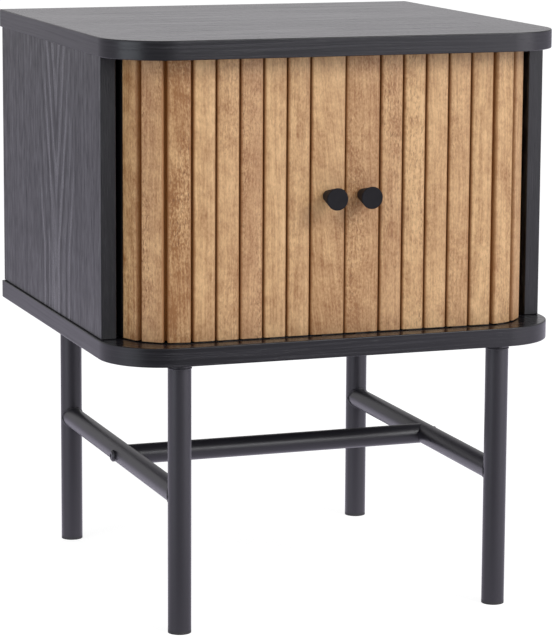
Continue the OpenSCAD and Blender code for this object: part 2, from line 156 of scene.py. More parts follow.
# %% A finish with the nodes that ours share
class Finish(Net):
    """The net of one material."""

    def __init__(self, name):
        self.material = bpy.data.materials.new(name)
        self.material.use_nodes = True
        super().__init__(self.material.node_tree)
        self.shader = self.tree.nodes["Principled BSDF"]

    def paint(self, **sockets):
        """Sets the surface's own sockets, such as Base_Color=..., Roughness=..."""
        for name, value in sockets.items():
            self.put(self.shader.inputs[name.replace("_", " ")], value)

    def place(self):
        """Where a point is on its piece, in metres."""
        return self.node("ShaderNodeTexCoord", output="Object")

    def facing(self):
        """Which way the surface faces on its piece."""
        return self.node("ShaderNodeTexCoord", output="Normal")

    def split(self, vector):
        """The x, y and z of a vector, as three wires."""
        separate = self.node("ShaderNodeSeparateXYZ", None, {0: vector}).socket.node
        return [Wire(self, output) for output in separate.outputs]

    def join(self, x, y, z):
        return self.node("ShaderNodeCombineXYZ", None, {0: x, 1: y, 2: z})

    def noise(self, vector, detail=2.0, roughness=0.5, scale=1.0):
        """Soft noise, one bump per unit of the vector unless a scale is given."""
        inputs = {"Vector": vector, "Scale": scale, "Detail": detail, "Roughness": roughness}
        return self.node("ShaderNodeTexNoise", None, inputs, "Fac")

    def grit(self, per_metre, detail=2.0, roughness=0.5):
        """Soft noise that is alike in every direction, such as dimples or speckle."""
        return self.noise(self.place(), detail, roughness, per_metre)

    def step(self, value, low, high):
        """0 below low, 1 above high, and a soft change between them."""
        inputs = {"Value": value, "From Min": low, "From Max": high}
        settings = {"interpolation_type": "SMOOTHSTEP"}
        return self.node("ShaderNodeMapRange", settings, inputs)

    def ramp(self, value, low, high):
        """0 below low, 1 above high, and a straight change between them."""
        inputs = {"Value": value, "From Min": low, "From Max": high}
        return self.node("ShaderNodeMapRange", None, inputs)

    def mix(self, factor, low, high):
        """The colour low where factor is 0 and high where it is 1."""
        # The Mix node keeps its two colours in sockets 6 and 7, and gives one at output 2.
        inputs = {0: factor, 6: low, 7: high}
        return self.node("ShaderNodeMix", {"data_type": "RGBA"}, inputs, 2)

    def bump(self, height, distance):
        """Turns a height from 0 to 1 into a slope, distance metres deep."""
        return self.node("ShaderNodeBump", None, {"Height": height, "Distance": distance})

    def carried(self, name):
        """A number that is stored on the mesh."""
        return self.node("ShaderNodeAttribute", {"attribute_name": name}, None, "Fac")


def rgb(red, green, blue):
    return (red, green, blue, 1.0)


# %% [markdown]
# ## Black-stained ash
#
# Ash has open pores in rows. Under a thin black stain the colour is nearly even, and the
# grain shows because the pore rows are rougher and catch the light another way. So the
# grain goes into colour a little, and into roughness and bump more.
#
# On the boards the grain runs from left to right, also along the edge band. The normal on
# the piece tells the flat faces from the edges, which saves unwrapping the mesh. The edge
# band is a little darker and rougher than the faces.

# %% Ash on the boards
ASH_DARK = rgb(0.0065, 0.0065, 0.0085)
ASH_LIGHT = rgb(0.038, 0.036, 0.045)
ASH_IOR = 1.43
ASH_SWAY = 12 * MM
PORE_DEEP = 0.12 * MM


def board_ash():
    ash = Finish("black_ash_boards")
    x, y, z = ash.split(ash.place())
    flat = ash.step(abs(ash.split(ash.facing())[2]), 0.6, 0.8)
    along = x + (1 - flat) * y
    across = flat * y + (1 - flat) * (z * 1.5)
    sway = ash.noise(ash.join(along * 4.0, across * 14.0, 0.0)) * ASH_SWAY
    rows = ash.noise(ash.join(along * 5.0, (across + sway) * 330.0, 3.0), 4.0, 0.62)
    pores = ash.noise(ash.join(along * 70.0, across * 1500.0, 7.0), 2.0)
    row = ash.step(rows, 0.42, 0.68)
    pore = ash.step(pores, 0.55, 0.72) * row
    cloud = ash.noise(ash.join(x * 6.0, y * 9.0, z * 9.0), 2.0)
    tone = (row * 0.55 + pore * 0.3) * (0.6 + flat * 0.4)
    ash.paint(
        Base_Color=ash.mix(tone, ASH_DARK, ASH_LIGHT),
        IOR=ASH_IOR,
        Roughness=0.27 - flat * 0.08 + row * 0.08 + pore * 0.12 + cloud * 0.06,
        Normal=ash.bump(1 - pore * 0.8 - row * 0.2, PORE_DEEP),
    )
    return ash.material


BOARD_ASH = board_ash()
print("made", BOARD_ASH.name)

# %% [markdown]
# The side panels stand upright, and their veneer has the arched figure of a plain-sawn
# log. Low on the panel its lines run straight up beside a pale streak. Higher up the lines
# part, so they stand as tall pointed arches on their heads. A Wave texture that is bent by
# noise gives such lines too, but not their arches. So the sum below takes the distance from
# the middle line, subtracts how far the lines have parted at that height, and cuts the rest
# into steps.

# %% Ash on the upright panels
PANEL_DARK = rgb(0.005, 0.005, 0.0065)
PANEL_LIGHT = rgb(0.068, 0.068, 0.073)
LINE_STEP = 19 * MM
HEART_Y = 6 * MM
POINT_ROUND = 3 * MM
SWAY_WIDE = 10 * MM
ARCH_TALL = 200 * MM
ARCH_WIDE = 44 * MM
FIGURE_WIDE = (45 * MM, 70 * MM)
STREAK_WIDE = 12 * MM
STREAK_ASIDE = 9 * MM
STREAK_FADE = (20 * MM, 80 * MM)


def panel_ash():
    ash = Finish("black_ash_panels")
    x, y, z = ash.split(ash.place())
    u = y + abs(x) - (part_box("right_side_panel")[1].x + HEART_Y)
    foot = ceiling_z - ARCH_TALL
    parted = ash.ramp(z, foot, ceiling_z) * ARCH_WIDE
    sway = (ash.noise(ash.join(u * 9.0, z * 7.0, 1.0), 3.0) - 0.5) * SWAY_WIDE
    away = (u * u + POINT_ROUND**2).root() - parted + sway
    turn = (away / LINE_STEP).part()
    near = 1 - ash.step(abs(u), *FIGURE_WIDE)
    heart = 1 - ash.step(abs(u - sway - STREAK_ASIDE), STREAK_WIDE * 0.5, STREAK_WIDE * 1.3)
    heart = heart * (1 - ash.step(z, foot + STREAK_FADE[0], foot + STREAK_FADE[1]))
    pale = ash.step(turn, 0.1, 0.32) * (1 - ash.step(turn, 0.44, 0.66))
    dark = ash.step(turn, 0.6, 0.76) * (1 - ash.step(turn, 0.84, 0.98))
    streak = ash.noise(ash.join(u * 170.0, z * 6.0, x * 210.0), 3.0, 0.6)
    dash = ash.noise(ash.join(u * 190.0, z * 40.0, x * 260.0), 3.0, 0.65)
    pore = ash.step(ash.noise(ash.join(u * 700.0, z * 60.0, x * 700.0), 2.0), 0.5, 0.7)
    clear = ash.step(ash.noise(ash.join(away * 60.0, 5.0, z * 2.5), 2.0), 0.36, 0.62)
    row = (pale * 0.75 - dark * 0.4) * near * (0.35 + clear) * (1 - heart) + heart * 0.5
    broad = ash.step(abs(ash.split(ash.facing())[0]), 0.6, 0.8)
    tone = 0.2 + row + (streak - 0.5) * 1.4 + (dash - 0.5) * 1.8 + pore * 0.08
    ash.paint(
        Base_Color=ash.mix(tone * (0.25 + broad * 0.75), PANEL_DARK, PANEL_LIGHT),
        IOR=ASH_IOR,
        Roughness=0.37 - tone * 0.13 + pore * 0.1,
        Normal=ash.bump(1 - pore * 0.5 - pale * near * 0.3, PORE_DEEP),
    )
    return ash.material


PANEL_ASH = panel_ash()
print("made", PANEL_ASH.name)

# %% [markdown]
# ## Mango wood for the slats
#
# Each slat is sawn from another piece of the log, so neighbours differ in tone, and the
# grain stands a little askew on some. A material for each slat would do it, but one finish
# is easier to tune. So it reads a few numbers that we store on each slat's mesh: its tone,
# how much paler it gets towards the top, its blush (how pink it is), the slant of its grain
# and how speckled it is. Its seed moves the whole pattern, so no two slats repeat.
#
# Clouds and curls are soft patches where the fibres wave, and short flecks and dots are the
# open pores. The flanks and eased edges in the gaps get painted shade: brown, and deepest
# near the cloth. The slats' ends and tongues, which run in the tracks, are painted near
# black as the shade there.

# %% Mango wood
SLAT_THICK = 6 * MM
MANGO_DEEP = rgb(0.30, 0.124, 0.034)
MANGO_PALE = rgb(0.74, 0.468, 0.232)
MANGO_PINK = rgb(0.54, 0.30, 0.165)
MANGO_PORE = rgb(0.17, 0.07, 0.026)
# Painted shade: the brown of the slats' flanks and eased edges in the gaps between them.
GAP_SHADE_BROWN = rgb(0.3, 0.125, 0.035)
# Painted shade: near black on the slats' ends and tongues, where the tracks shade them.
TONGUE_SHADE_BLACK = rgb(0.018, 0.01, 0.006)
BEND_WIDE = 8 * MM
WAVE_WIDE = 3 * MM
# The painted gap shade starts this far behind a slat's face and is full this far before the
# cloth.
SHADE_BEHIND_FACE = 2.5 * MM
SHADE_BEFORE_CLOTH = 1 * MM
# How far into each slat's end the painted track shade fades in.
TRACK_SHADE_FADE = 0.3 * MM
slat_half = (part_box("right_slat_1")[1].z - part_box("right_slat_1")[0].z) / 2


def mango_wood():
    wood = Finish("mango_wood_slats")
    x, y, z = wood.split(wood.place())
    seed = wood.carried("grain_seed")
    speckle = wood.carried("grain_speckle")
    height = (z - mid_z) / (ceiling_z - floor_z) * 2.0
    bend = wood.noise(wood.join(x * 25.0, seed, z * 8.0), 2.0) * BEND_WIDE
    wave = wood.noise(wood.join(x * 55.0, seed + 3.0, z * 32.0), 2.0) * WAVE_WIDE
    across = x + z * wood.carried("grain_slant") + y + bend + wave
    cloud = wood.noise(wood.join(across * 50.0, seed + 9.0, z * 15.0), 3.0, 0.6)
    curl = wood.noise(wood.join(across * 70.0 + z * 25.0, seed + 5.0, z * 75.0), 2.0, 0.6)
    fibre = wood.noise(wood.join(across * 420.0, seed, z * 16.0), 3.0, 0.6)
    fleck = wood.noise(wood.join(across * 620.0, seed + 4.0, z * 310.0), 2.0, 0.6)
    pores = wood.noise(wood.join(across * 900.0, seed + 2.0, z * 190.0), 2.0, 0.6)
    patch = wood.step(wood.noise(wood.join(x * 30.0, seed + 7.0, z * 9.0), 2.0), 0.42, 0.62)
    rough = 0.25 + speckle * (0.35 + patch * 1.2)
    level = wood.carried("grain_tone") + height * wood.carried("grain_fade")
    level = level + (cloud - 0.5) * 1.0 + (fibre - 0.5) * 1.25
    level = level + (fleck - 0.5) * (0.55 + rough * 1.15)
    level = level + (curl - 0.5) * (0.8 + rough * 0.2)
    pore = wood.step(pores, 0.55, 0.7) * rough * 0.6
    pale = wood.mix(level, MANGO_DEEP, MANGO_PALE)
    pink = wood.mix(wood.carried("grain_blush"), pale, MANGO_PINK)
    dotted = wood.mix(pore, pink, MANGO_PORE)
    # Painted shade: the flanks and eased edges are browned, more deeply towards the cloth.
    flank_shade = wood.step(abs(wood.split(wood.facing())[0]), 0.05, 0.85)
    shade_depth = wood.step(y, SHADE_BEHIND_FACE - SLAT_THICK, -SHADE_BEFORE_CLOTH)
    # Painted shade: each slat's ends and tongues, inside the tracks, go near black.
    track_shade = wood.step(abs(z - mid_z), slat_half - TRACK_SHADE_FADE, slat_half)
    gap_shaded = wood.mix(flank_shade * (0.62 + shade_depth * 0.33), dotted, GAP_SHADE_BROWN)
    wood.paint(
        Base_Color=wood.mix(track_shade, gap_shaded, TONGUE_SHADE_BLACK),
        Roughness=0.5 + pore * 0.2 + fibre * 0.1,
        Normal=wood.bump(1 - pore * 0.7 - fibre * 0.3, 0.1 * MM),
    )
    return wood.material


MANGO = mango_wood()
print("made", MANGO.name)

# %% [markdown]
# The tail of each door never comes out of its pocket, where it lies in deep shade. It is
# painted black as that shade, so the gap beside the side panel reads as a clean dark line.

# %% Painted shade on the tail slats
def tail_painted_shade():
    wood = Finish("painted_shade_tail")
    x, y, z = wood.split(wood.place())
    grain = wood.noise(wood.join(x * 600.0, y * 600.0, z * 30.0), 3.0, 0.6)
    wood.paint(
        # Painted shade: near-black colour for the tail slats in their shaded pocket.
        Base_Color=wood.mix(grain, rgb(0.004, 0.003, 0.003), rgb(0.014, 0.011, 0.01)),
        Roughness=0.6 + grain * 0.15,
        Normal=wood.bump(grain, 0.08 * MM),
    )
    return wood.material


TAIL_SHADE_BLACK = tail_painted_shade()
print("made", TAIL_SHADE_BLACK.name)

# %% [markdown]
# ## Cloth, steel, knobs and small parts
#
# The slats are glued to a woven cloth, which shows as a brown line between them. Its threads
# are too fine to model, so two rows of ridges, multiplied, make the weave. The steel is
# powder coated: the powder melts into a skin with very fine dimples, like orange peel. The
# knobs are sprayed matt black. Hidden fixings get their own finishes as well, because they
# come into view when the doors are open or the table is turned over.

# %% Backing cloth
CLOTH_DARK = rgb(0.27, 0.095, 0.018)
CLOTH_LIGHT = rgb(0.52, 0.2, 0.045)
THREADS = 900.0


def backing_cloth():
    cloth = Finish("backing_cloth")
    x, _, z = cloth.split(cloth.place())
    warp = abs((x * THREADS).part() - 0.5) * 2.0
    weft = abs((z * THREADS).part() - 0.5) * 2.0
    weave = warp * weft
    fuzz = cloth.grit(1500.0, 3.0)
    cloth.paint(
        Base_Color=cloth.mix(weave * 0.6 + fuzz * 0.4, CLOTH_DARK, CLOTH_LIGHT),
        Roughness=0.88 + fuzz * 0.08,
        Normal=cloth.bump(weave, 0.2 * MM),
    )
    return cloth.material


CLOTH = backing_cloth()
print("made", CLOTH.name)


# %% Powder-coated steel
STEEL_DARK = rgb(0.016, 0.0148, 0.0195)
STEEL_LIGHT = rgb(0.031, 0.0293, 0.0375)


def powder_coat():
    coat = Finish("powder_coated_steel")
    peel = coat.grit(700.0)
    grit = coat.grit(2600.0)
    drift = coat.grit(9.0)
    coat.paint(
        Base_Color=coat.mix(drift * 0.6 + grit * 0.4, STEEL_DARK, STEEL_LIGHT),
        Roughness=0.3 + grit * 0.1 + drift * 0.06,
        Normal=coat.bump(peel * 0.8 + grit * 0.2, 0.05 * MM),
    )
    return coat.material


STEEL = powder_coat()
print("made", STEEL.name)


# %% Matt black knobs
KNOB_DARK = rgb(0.0125, 0.0118, 0.0142)
KNOB_LIGHT = rgb(0.0195, 0.0185, 0.0222)
KNOB_IOR = 1.17


def knob_black():
    spray = Finish("matt_black_knob")
    grit = spray.grit(1900.0, 3.0)
    wear = spray.grit(130.0, 3.0)
    spray.paint(
        Base_Color=spray.mix(wear * 0.6 + grit * 0.4, KNOB_DARK, KNOB_LIGHT),
        IOR=KNOB_IOR,
        Roughness=0.5 + grit * 0.12,
        Normal=spray.bump(grit, 0.05 * MM),
    )
    return spray.material


KNOB = knob_black()
print("made", KNOB.name)


# %% Zinc, beech and glide plastic
def zinc_plate():
    zinc = Finish("zinc_plate")
    bloom = zinc.grit(220.0, 4.0, 0.6)
    zinc.paint(
        Base_Color=zinc.mix(bloom, rgb(0.5, 0.52, 0.54), rgb(0.74, 0.75, 0.77)),
        Metallic=1.0,
        Roughness=0.26 + bloom * 0.22,
        Normal=zinc.bump(bloom, 0.03 * MM),
    )
    return zinc.material


def beech():
    wood = Finish("beech_dowel")
    x, y, z = wood.split(wood.place())
    fleck = wood.noise(wood.join(x * 900.0, y * 900.0, z * 90.0), 3.0)
    mark = wood.step(fleck, 0.4, 0.7)
    wood.paint(
        Base_Color=wood.mix(mark, rgb(0.62, 0.44, 0.26), rgb(0.4, 0.25, 0.13)),
        Roughness=0.62 + fleck * 0.12,
        Normal=wood.bump(fleck, 0.08 * MM),
    )
    return wood.material


def glide_plastic():
    plastic = Finish("glide_plastic")
    mould = plastic.grit(1200.0)
    plastic.paint(
        Base_Color=plastic.mix(mould, rgb(0.016, 0.016, 0.017), rgb(0.03, 0.03, 0.031)),
        Roughness=0.48 + mould * 0.16,
        Normal=plastic.bump(mould, 0.04 * MM),
    )
    return plastic.material


ZINC = zinc_plate()
BEECH = beech()
GLIDE = glide_plastic()
print("made", ZINC.name, BEECH.name, GLIDE.name)

# %% [markdown]
# ## Putting a finish on a CAD solid
#
# A CAD solid that already has the right shape stays as it is, and only its material slots
# are filled. The tubes, straps, screws, cams, dowels and glides are such solids: a new mesh
# of them would look the same.

# %% Dress CAD solids
def dress(finish, slot_name, *names):
    for name in names:
        solid = NODES[name]
        for material_slot in solid.material_slots:
            material_slot.material = finish
    print(finish.name, "on", len(names), "solids")


LEGS = ["front_left_leg", "front_right_leg", "rear_left_leg", "rear_right_leg"]
RAILS = ["left_side_rail", "right_side_rail", "cross_rail"]
dress(STEEL, "frame_steel", *LEGS, *RAILS, "left_strap", "right_strap", "cross_rail_bolts")
dress(ZINC, "zinc", "cam_locks", "cam_bolts", "strap_screws", "cross_rail_plugs")
dress(ZINC, "zinc", "left_knob_screw", "right_knob_screw")
dress(BEECH, "dowel", "panel_dowels", "liner_dowels")
dress(GLIDE, "glide", "foot_glides")

# %% [markdown]
# ## Boards and panels with broken edges
#
# No board leaves a workshop with razor-sharp edges: an arris is sanded or the lacquer
# rounds it, and that thin line catches the light. The CAD boards have grooves and bores in
# the right places, so we copy each one, join the facets of every flat face, and let a Bevel
# modifier round only the long edges that stand out. The inner corners of the grooves and
# the short facets of the bores stay sharp.
#
# One face with many holes in it is hard to fill without covering a hole. So the joined
# faces are cut across in a few places, which leaves simple shapes.

# %% A mesh becomes a piece
SHARP_ANGLE = math.radians(35)
SAME_POINT = 0.001 * MM


def new_piece(name, bm, finish, matrix):
    """Makes an object of a mesh, smooth but for its sharp edges."""
    bmesh.ops.recalc_face_normals(bm, faces=bm.faces)
    for face in bm.faces:
        face.smooth = True
        face.material_index = 0
    for edge in bm.edges:
        edge.smooth = len(edge.link_faces) != 2 or edge.calc_face_angle() <= SHARP_ANGLE
    mesh = bpy.data.meshes.new(name)
    bm.to_mesh(mesh)
    bm.free()
    mesh.materials.append(finish)
    piece = bpy.data.objects.new(name, mesh)
    bpy.context.scene.collection.objects.link(piece)
    piece.matrix_world = matrix
    return piece


# %% Copy a board and round its long edges
FLAT_ANGLE = math.radians(0.5)
LONG_EDGE = 4 * MM
CUTS_X = (-100 * MM, 0.0, 100 * MM)
CUTS_Y = (-100 * MM, 30 * MM, 120 * MM)
BOARD_ROUND = 1.0 * MM
LINER_ROUND = 0.5 * MM
BACK_ROUND = 0.3 * MM


def cut_across(bm, direction, places):
    """Splits all faces with planes that stand across the direction."""
    for place in places:
        whole = list(bm.verts) + list(bm.edges) + list(bm.faces)
        bmesh.ops.bisect_plane(
            bm, geom=whole, dist=SAME_POINT, plane_co=direction * place, plane_no=direction
        )


def broken_edges(node, piece_name, width, finish):
    bm = bmesh.new()
    bm.from_mesh(NODES[node].data)
    bmesh.ops.remove_doubles(bm, verts=bm.verts, dist=SAME_POINT)
    bmesh.ops.dissolve_limit(bm, angle_limit=FLAT_ANGLE, verts=bm.verts, edges=bm.edges)
    cut_across(bm, Vector((1, 0, 0)), CUTS_X)
    cut_across(bm, Vector((0, 1, 0)), CUTS_Y)
    weight = bm.edges.layers.float.new("bevel_weight_edge")
    for edge in bm.edges:
        sharp = len(edge.link_faces) == 2 and edge.calc_face_angle() > SHARP_ANGLE
        if sharp and edge.is_convex and edge.calc_length() > LONG_EDGE:
            edge[weight] = 1.0
    piece = new_piece(piece_name, bm, finish, Matrix.Identity(4))
    bevel = piece.modifiers.new("broken_edge", "BEVEL")
    bevel.width = width
    bevel.segments = 3
    bevel.limit_method = "WEIGHT"
    bevel.use_clamp_overlap = False
    bevel.harden_normals = True
    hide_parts(node)
    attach(piece, "case")
    print(piece_name, "has", len(piece.data.polygons), "faces")


broken_edges("top_board", "ash_top_board", BOARD_ROUND, BOARD_ASH)
broken_edges("bottom_board", "ash_bottom_board", BOARD_ROUND, BOARD_ASH)
broken_edges("left_side_panel", "ash_left_panel", BOARD_ROUND, PANEL_ASH)
broken_edges("right_side_panel", "ash_right_panel", BOARD_ROUND, PANEL_ASH)
broken_edges("left_liner", "ash_left_liner", LINER_ROUND, PANEL_ASH)
broken_edges("right_liner", "ash_right_liner", LINER_ROUND, PANEL_ASH)
broken_edges("back_panel", "ash_back_panel", BACK_ROUND, PANEL_ASH)

# %% [markdown]
# ## Where the slats stand
#
# The doors follow a line: straight across the front, round a quarter circle, then straight
# to the rear. A Curve modifier could wrap a flat door round it, but it would bend each slat
# as well. So each slat is placed by its distance along the line from where the doors meet.
# The numbers come from the CAD boxes of the slats that stand on the straight runs.

# %% The line that the slats follow
BEND = 45 * MM
SLAT_COUNT = 12

plain_low, plain_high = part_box("right_slat_1")
next_low, next_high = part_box("right_slat_2")
lead_low, lead_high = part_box("right_lead_slat")

meeting_x = (lead_low.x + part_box("left_lead_slat")[1].x) / 2
slat_back_y = plain_low.y + SLAT_THICK
slat_back_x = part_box(f"right_slat_{SLAT_COUNT}")[1].x - SLAT_THICK
bend_x = slat_back_x - BEND
narrow_width = plain_high.x - plain_low.x
lead_width = lead_high.x - lead_low.x
pitch = next_low.x - plain_low.x
first_s = (plain_low.x + plain_high.x) / 2 - meeting_x
lead_s = (lead_low.x + lead_high.x) / 2 - meeting_x


def on_line(side, s):
    """The place and heading of a point that is s from the meeting line."""
    straight = bend_x - side * meeting_x
    angle = min(max((s - straight) / BEND, 0.0), math.pi / 2)
    x = meeting_x + side * (min(s, straight) + BEND * math.sin(angle))
    past = max(s - straight - BEND * math.pi / 2, 0.0)
    y = slat_back_y + BEND * (1 - math.cos(angle)) + past
    return Matrix.Translation((x, y, 0)) @ Matrix.Rotation(side * angle, 4, "Z")


print("meeting line at x =", round(meeting_x / MM, 1), "pitch", round(pitch / MM, 1))

# %% [markdown]
# ## The slats
#
# A slat is a strip with its two front edges eased. Every second one, and the wide lead slat
# that carries the knob, has a tongue at each end that runs in the boards' tracks. The slat
# is drawn standing on its own axes, so that its grain moves with it, and is then set on the
# line. A scaled cube with a Bevel modifier would ease its rear edges too, so its outline is
# drawn from above and extruded. All its edges then get a very small bevel.

# %% The shape of a slat
EASE = 2.2 * MM
EASE_STEPS = 4


def add_block(bm, low, high):
    """Adds a closed block between two corners."""
    made = bmesh.ops.create_cube(bm, size=1.0)["verts"]
    bmesh.ops.scale(bm, vec=high - low, verts=made)
    bmesh.ops.translate(bm, vec=(low + high) / 2, verts=made)


def slat_outline(width):
    """The slat from above, with a quarter round at its two front corners."""
    points = [(-width / 2, 0.0), (width / 2, 0.0)]
    turns = [math.pi / 2 * step / EASE_STEPS for step in range(EASE_STEPS + 1)]
    for angle in turns:
        x = width / 2 - EASE + EASE * math.cos(angle)
        points.append((x, -SLAT_THICK + EASE - EASE * math.sin(angle)))
    for angle in turns:
        x = EASE - width / 2 - EASE * math.sin(angle)
        points.append((x, -SLAT_THICK + EASE - EASE * math.cos(angle)))
    return points


def slat_body(bm, width):
    corners = [bm.verts.new((x, y, plain_low.z)) for x, y in slat_outline(width)]
    lower = bm.faces.new(corners)
    grown = bmesh.ops.extrude_face_region(bm, geom=[lower])
    top = [v for v in grown["geom"] if isinstance(v, bmesh.types.BMVert)]
    bmesh.ops.translate(bm, vec=(0, 0, plain_high.z - plain_low.z), verts=top)


print("slat outline has", len(slat_outline(narrow_width)), "points")

# %% [markdown]
# ## The tone of each slat
#
# In the photograph the slats run from a yellow tan to a darker, pinkish brown, with no
# order in it. Random tones would look as natural, but not like this table. So the list
# below gives five numbers for each slat that faces the viewer, from the lead slat outward.
# Each slat behind them borrows the numbers of one that shows, by a seeded choice.

# %% Tones
GRAIN = ("tone", "fade", "blush", "slant", "speckle")
LOOKS = {
    "left": [
        (0.52, 0.20, 0.05, 0.10, 0.2),
        (0.56, 0.00, 0.05, 0.00, 0.2),
        (0.66, 0.00, 0.05, 0.02, 0.1),
        (0.42, 0.00, 0.30, -0.02, 0.9),
        (0.56, 0.00, 0.10, 0.01, 0.3),
        (0.66, 0.05, 0.00, 0.00, 0.1),
        (0.29, 0.00, 0.05, 0.03, 0.75),
        (0.48, -0.05, 0.22, 0.00, 0.9),
        (0.52, 0.00, 0.00, 0.00, 0.4),
    ],
    "right": [
        (0.33, -0.03, 0.12, 0.03, 0.7),
        (0.48, 0.06, 0.20, 0.00, 0.6),
        (0.66, 0.00, 0.05, -0.01, 0.4),
        (0.66, 0.00, 0.10, 0.02, 0.2),
        (0.56, 0.00, 0.15, 0.00, 0.3),
        (0.69, 0.00, 0.05, -0.02, 0.2),
        (0.62, 0.00, 0.05, 0.01, 0.3),
        (0.58, 0.00, 0.15, 0.00, 0.3),
        (0.52, 0.00, 0.10, 0.00, 0.4),
    ],
}


def look_of(side_name, number):
    known = LOOKS[side_name]
    if number < len(known):
        return known[number]
    return known[random.Random(number).randrange(1, len(known))]


print("slats with a tone of their own:", sum(len(known) for known in LOOKS.values()))

# %% The wood of a slat
TONGUE_THICK = 4 * MM
TONGUE_LONG = 10 * MM
LAST_SHOWN = 8
SANDED = 0.35 * MM
SANDED_ANGLE = math.radians(50)
SEED_STEP = 3.7
SEED_SIDE = 61.0


def store(mesh, name, value):
    """Stores one number on all points of a mesh, for the finish to read."""
    layer = mesh.attributes.new(name, "FLOAT", "POINT")
    layer.data.foreach_set("value", [value] * len(mesh.vertices))


def slat_wood(side_name, number, width, matrix):
    bm = bmesh.new()
    slat_body(bm, width)
    if number % 2 == 0:
        low = Vector((-TONGUE_LONG / 2, -(SLAT_THICK + TONGUE_THICK) / 2, next_low.z))
        high = Vector((TONGUE_LONG / 2, -(SLAT_THICK - TONGUE_THICK) / 2, next_high.z))
        add_block(bm, low, high)
    name = side_name + ("_lead_wood" if number == 0 else f"_slat_wood_{number}")
    # Slats past LAST_SHOWN get black that paints the shade of the pocket.
    finish = MANGO if number <= LAST_SHOWN else TAIL_SHADE_BLACK
    wood = new_piece(name, bm, finish, matrix)
    for grain, value in zip(GRAIN, look_of(side_name, number)):
        store(wood.data, "grain_" + grain, value)
    store(wood.data, "grain_seed", number * SEED_STEP + SIDES[side_name] * SEED_SIDE)
    bevel = wood.modifiers.new("sanded", "BEVEL")
    bevel.width = SANDED
    bevel.segments = 2
    bevel.angle_limit = SANDED_ANGLE
    bevel.harden_normals = True
    return wood


# %% Make the slats with their cloth
CLOTH_THICK = 0.8 * MM
GLUE = 0.1 * MM
CLOTH_MARGIN = 1.5 * MM
CLOTH_PAST = 0.7 * MM


def slat_cloth(name, width, matrix):
    bm = bmesh.new()
    low = Vector((-CLOTH_PAST - width / 2, GLUE, plain_low.z + CLOTH_MARGIN))
    high = Vector((width / 2 + CLOTH_PAST, GLUE + CLOTH_THICK, plain_high.z - CLOTH_MARGIN))
    add_block(bm, low, high)
    return new_piece(name, bm, CLOTH, matrix)


def make_slat(side_name, number, node, body, width, s):
    matrix = on_line(SIDES[side_name], s)
    wood = slat_wood(side_name, number, width, matrix)
    cloth = slat_cloth(wood.name.replace("wood", "cloth"), width, matrix)
    for piece in (wood, cloth):
        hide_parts(node)
        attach(piece, body)


for side_name in SIDES:
    make_slat(side_name, 0, f"{side_name}_lead_slat", f"{side_name}_lead", lead_width, lead_s)
    for number in range(1, SLAT_COUNT + 1):
        s = first_s + (number - 1) * pitch
        node = f"{side_name}_slat_{number}"
        make_slat(side_name, number, node, f"{side_name}_tambour_{number}", narrow_width, s)
print("slats made:", 2 * (SLAT_COUNT + 1))

# %% [markdown]
# ## The knobs
#
# A knob like this is turned on a lathe: a cone that widens from its foot to a flat round
# face. A Cone primitive has the shape but knife-sharp rims. The Spin tool turns half an
# outline, as a lathe does, so we draw that outline with a small radius at the rim and a
# slight hollow in the face, and turn it once round.

# %% Half the outline of a knob
FACE_RADIUS = 10.5 * MM
FOOT_RADIUS = 5.75 * MM
FOOT_CHAMFER = 0.3 * MM
RIM = 0.8 * MM
RIM_STEPS = 5
HOLLOW_INSIDE = 2 * MM
HOLLOW_EDGE = 0.08 * MM
HOLLOW_DEEP = 0.12 * MM


def knob_outline(length):
    """Pairs of a radius and a distance from the slat, from foot to face."""
    points = [(0.0, 0.0), (FOOT_RADIUS - FOOT_CHAMFER, 0.0), (FOOT_RADIUS, FOOT_CHAMFER)]
    for part in (0.25, 0.5, 0.75):
        points.append((FOOT_RADIUS + (FACE_RADIUS - FOOT_RADIUS) * part, length * part))
    for step in range(RIM_STEPS + 1):
        angle = math.pi / 2 * step / RIM_STEPS
        radius = FACE_RADIUS - RIM + RIM * math.cos(angle)
        points.append((radius, length - RIM + RIM * math.sin(angle)))
    points.append((FACE_RADIUS - HOLLOW_INSIDE, length - HOLLOW_EDGE))
    points.append((0.0, length - HOLLOW_DEEP))
    return points


# %% Turn the knobs
KNOB_FACETS = 96


def make_knob(side_name):
    low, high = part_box(f"{side_name}_knob")
    bm = bmesh.new()
    previous = None
    edges = []
    for radius, out in knob_outline(high.y - low.y):
        vert = bm.verts.new((radius, -out, 0.0))
        if previous is not None:
            edges.append(bm.edges.new((previous, vert)))
        previous = vert
    geometry = list(bm.verts) + edges
    bmesh.ops.spin(
        bm, geom=geometry, cent=(0, 0, 0), axis=(0, 1, 0), angle=math.tau, steps=KNOB_FACETS
    )
    bmesh.ops.remove_doubles(bm, verts=bm.verts, dist=SAME_POINT)
    place = Matrix.Translation(((low.x + high.x) / 2, high.y, (low.z + high.z) / 2))
    knob = new_piece(f"{side_name}_cone_knob", bm, KNOB, place)
    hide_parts(f"{side_name}_knob")
    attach(knob, f"{side_name}_lead")
    return knob


for side_name in SIDES:
    print(make_knob(side_name).name)

# %% [markdown]
# ## Weld beads
#
# The side rails are welded to the legs, and the legs to the straps under the case. A weld
# leaves a bead that fills the corner and has a faint ripple. A curve with a round bevel
# would do, but for the ripple. So we work out the line where the two tubes cross, put a
# small circle round it at each point, a little wider or narrower in turn, and join them.

# %% A bead along a closed line
BEAD_AROUND = 10
RIPPLE = 0.1
RIPPLE_POINTS = 6


def bead_ring(bm, point, ahead, side, radius):
    """One circle of the bead, square to the way ahead."""
    up = ahead.cross(side)
    ring = []
    for step in range(BEAD_AROUND):
        angle = math.tau * step / BEAD_AROUND
        offset = side * math.cos(angle) + up * math.sin(angle)
        ring.append(bm.verts.new(point + offset * radius))
    return ring


